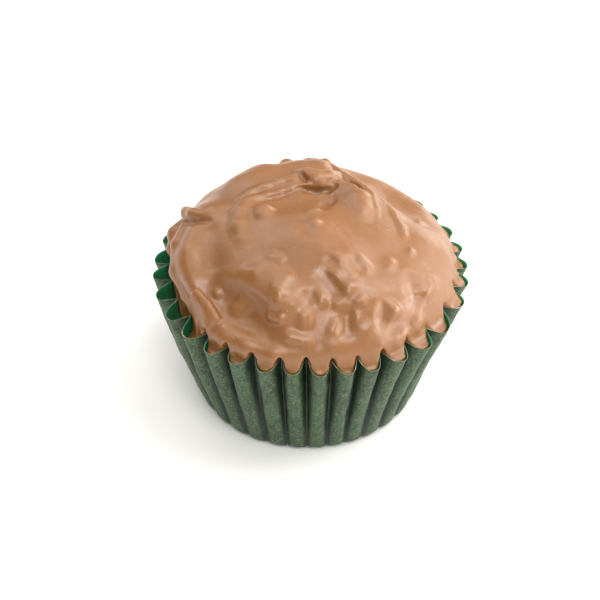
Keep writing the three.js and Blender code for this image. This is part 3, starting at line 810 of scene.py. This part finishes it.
def chocolate_material():
    nodes = Nodes("milk_chocolate")
    place = nodes.add("ShaderNodeTexCoord").outputs["Object"]
    relief = nodes.add("ShaderNodeAttribute", {"attribute_name": "relief"}).outputs["Fac"]
    cloud = nodes.noise(place, 7.0, 3.0)
    # Relief tone: raised parts lighter where coconut lies near the surface, lower parts darker as painted
    # shade.
    lifted_and_shaded = nodes.range(relief, -0.10, 0.16)
    tone = nodes.math("ADD", nodes.math("MULTIPLY", cloud, 0.55), nodes.math("MULTIPLY", lifted_and_shaded, 0.35))
    brown = nodes.mix_color(tone, (0.200, 0.071, 0.012, 1), (0.305, 0.122, 0.028, 1))
    # Painted shade: the deepest crevices are darkened to a near black-brown.
    brown = nodes.mix_color(nodes.range(relief, -0.09, -0.36), brown, (0.075, 0.016, 0.004, 1))
    grain = nodes.noise(place, 0.55, 4.0, 0.6)
    brown = nodes.mix_color(nodes.range(grain, 0.3, 0.7, 0.0, 0.18), brown, (0.33, 0.138, 0.042, 1))
    # Small pale specks: partly pale coconut flecks, partly painted glints on the tiny bumps that the same
    # specks raise.
    speck_and_glint_cells = nodes.add("ShaderNodeTexVoronoi", {"feature": "F1"})
    nodes.set(speck_and_glint_cells, "Vector", place)
    nodes.set(speck_and_glint_cells, "Scale", 1000 / 1.9)
    size = nodes.range(nodes.noise(place, 3.1, 1.0), 0.45, 0.75, 0.001, 0.13)
    speck_and_glint = nodes.range(nodes.math("DIVIDE", speck_and_glint_cells.outputs["Distance"], size), 1.0, 0.4)
    brown = nodes.mix_color(nodes.math("MULTIPLY", speck_and_glint, 0.3), brown, (0.60, 0.40, 0.24, 1))
    rough = nodes.range(nodes.noise(place, 2.0, 3.0), 0.3, 0.7, 0.33, 0.46)
    ripple = nodes.math("MULTIPLY", nodes.noise(place, 1.4, 2.0), 0.6)
    height = nodes.math("ADD", ripple, nodes.math("MULTIPLY", grain, 0.12))
    height = nodes.math("ADD", height, nodes.math("MULTIPLY", speck_and_glint, 0.25))
    shader = nodes.add("ShaderNodeBsdfPrincipled")
    nodes.set(shader, "Base Color", brown)
    nodes.set(shader, "Roughness", rough)
    nodes.set(shader, "IOR", 1.7)
    nodes.set(shader, "Subsurface Weight", 0.12)
    nodes.set(shader, "Subsurface Radius", (1.0, 0.45, 0.22))
    nodes.set(shader, "Subsurface Scale", 0.0012)
    nodes.set(shader, "Normal", nodes.bump(height, 0.16, 0.7))
    nodes.output(shader.outputs[0])
    return nodes.material


def paper_material(name, dark, pale, fleck_color, glow, glow_share, contrast, groove_shade_share):
    """Dyed greaseproof paper: cloudy fibres in two greens, some light showing through, and painted shade
    darkening the inner folds.
    """
    nodes = Nodes(name)
    place = nodes.add("ShaderNodeTexCoord").outputs["Object"]
    sheet = nodes.add("ShaderNodeAttribute", {"attribute_name": "sheet"}).outputs["Vector"]
    stretched = nodes.add("ShaderNodeMapping")
    nodes.set(stretched, "Vector", sheet)
    stretched.inputs["Scale"].default_value = (1.0, 0.3, 1.0)
    fibre = nodes.noise(stretched.outputs[0], 0.5, 4.0, 0.65)
    mottle = nodes.noise(place, 0.75, 5.0, 0.7)
    cloud = nodes.noise(place, 4.0, 2.0)
    fleck = nodes.noise(place, 0.3, 2.0, 0.6)
    blend = nodes.math("ADD", nodes.math("MULTIPLY", mottle, 0.4), nodes.math("MULTIPLY", fibre, 0.25))
    blend = nodes.math("ADD", blend, nodes.math("MULTIPLY", cloud, 0.15))
    blend = nodes.math("ADD", blend, nodes.math("MULTIPLY", fleck, 0.2))
    color = nodes.mix_color(nodes.range(blend, 0.5 - contrast, 0.5 + contrast), dark, pale)
    flecks = nodes.range(fleck, 0.55, 0.68, 0.0, 0.45)
    color = nodes.mix_color(flecks, color, fleck_color)
    # Painted shade: the inner folds are darkened towards near black-green, where shade falls in the grooves.
    fold = nodes.add("ShaderNodeAttribute", {"attribute_name": "fold"}).outputs["Fac"]
    groove_shade = nodes.range(fold, 0.22, 0.62, 0.0, groove_shade_share)
    color = nodes.mix_color(groove_shade, color, (0.006, 0.018, 0.008, 1))
    normal = nodes.bump(blend, 0.10, 0.6)
    body = nodes.add("ShaderNodeBsdfPrincipled")
    nodes.set(body, "Base Color", color)
    nodes.set(body, "Roughness", 0.5)
    nodes.set(body, "Normal", normal)
    through = nodes.add("ShaderNodeBsdfTranslucent")
    nodes.set(through, "Color", nodes.mix_color(0.75, color, glow))
    mixed = nodes.add("ShaderNodeMixShader")
    nodes.set(mixed, "0", glow_share)
    nodes.set(mixed, "1", body)
    nodes.set(mixed, "2", through)
    nodes.output(mixed.outputs[0])
    return nodes.material


def edge_material():
    nodes = Nodes("paper_cut_edge")
    place = nodes.add("ShaderNodeTexCoord").outputs["Object"]
    color = nodes.mix_color(nodes.noise(place, 1.2, 3.0), (0.06, 0.12, 0.06, 1), (0.34, 0.38, 0.25, 1))
    torn = nodes.range(nodes.noise(place, 2.6, 2.0), 0.60, 0.66)
    color = nodes.mix_color(torn, color, (0.75, 0.70, 0.52, 1))
    shader = nodes.add("ShaderNodeBsdfPrincipled")
    nodes.set(shader, "Base Color", color)
    nodes.set(shader, "Roughness", 0.7)
    nodes.output(shader.outputs[0])
    return nodes.material


# Stage, light and camera

def add_floor():
    points = [(-900, -900, 0), (900, -900, 0), (900, 900, 0), (-900, 900, 0)]
    floor = make_object("floor", points, [(0, 1, 2, 3)], smooth=False)
    nodes = Nodes("pale_floor")
    shader = nodes.add("ShaderNodeBsdfPrincipled")
    nodes.set(shader, "Base Color", (0.93, 0.925, 0.915, 1))
    nodes.set(shader, "Roughness", 0.9)
    nodes.output(shader.outputs[0])
    floor.data.materials.append(nodes.material)


def add_lights():
    """An even pale room and broad lamps, brightest from the right."""
    world = bpy.data.worlds.new("studio")
    bpy.context.scene.world = world
    world.use_nodes = True
    background = world.node_tree.nodes["Background"]
    background.inputs["Color"].default_value = (1.0, 0.975, 0.94, 1)
    background.inputs["Strength"].default_value = ROOM_LEVEL
    for index, (bearing, elevation, width, strength) in enumerate(LAMPS):
        data = bpy.data.lights.new(f"lamp_{index}", "SUN")
        data.angle = math.radians(width)
        data.energy = strength
        data.color = COOL_LIGHT if elevation > 45 else WARM_LIGHT
        lamp = bpy.data.objects.new(data.name, data)
        bpy.context.scene.collection.objects.link(lamp)
        turn, tilt = math.radians(bearing), math.radians(elevation)
        toward = Vector((math.cos(turn) * math.cos(tilt), math.sin(turn) * math.cos(tilt), math.sin(tilt)))
        lamp.rotation_euler = (-toward).to_track_quat("-Z", "Y").to_euler()


def add_camera():
    data = bpy.data.cameras.new("camera")
    data.sensor_width = 36
    data.lens = CAMERA_LENS
    data.clip_start = 0.01
    camera = bpy.data.objects.new("camera", data)
    bpy.context.scene.collection.objects.link(camera)
    elevation = math.radians(CAMERA_ELEVATION)
    place = Vector((0, -math.cos(elevation), math.sin(elevation))) * CAMERA_DISTANCE
    camera.location = place * MM
    camera.rotation_euler = (Vector(CAMERA_AIM) - place).to_track_quat("-Z", "Y").to_euler()
    bpy.context.scene.camera = camera


def main():
    chocolate = make_chocolate()
    chocolate.data.materials.append(chocolate_material())
    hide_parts("chocolate")
    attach(chocolate, "root")
    case = make_paper_case()
    case.data.materials.append(paper_material(
        "paper_outside", (0.003, 0.017, 0.005, 1), (0.066, 0.130, 0.046, 1), (0.27, 0.36, 0.19, 1),
        (0.05, 0.42, 0.18, 1), 0.14, 0.09, 0.95))
    # The inside gets paler, brighter greens than the outside: painted light standing for light that shines
    # through the paper, besides the translucent share.
    case.data.materials.append(paper_material(
        "paper_inside", (0.008, 0.13, 0.05, 1), (0.05, 0.40, 0.17, 1), (0.14, 0.50, 0.26, 1),
        (0.03, 0.65, 0.28, 1), 0.4, 0.25, 0.1))
    case.data.materials.append(edge_material())
    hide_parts("paper_case")
    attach(case, "root")
    add_floor()
    add_lights()
    add_camera()
    bpy.context.scene.view_settings.view_transform = "Standard"


main()
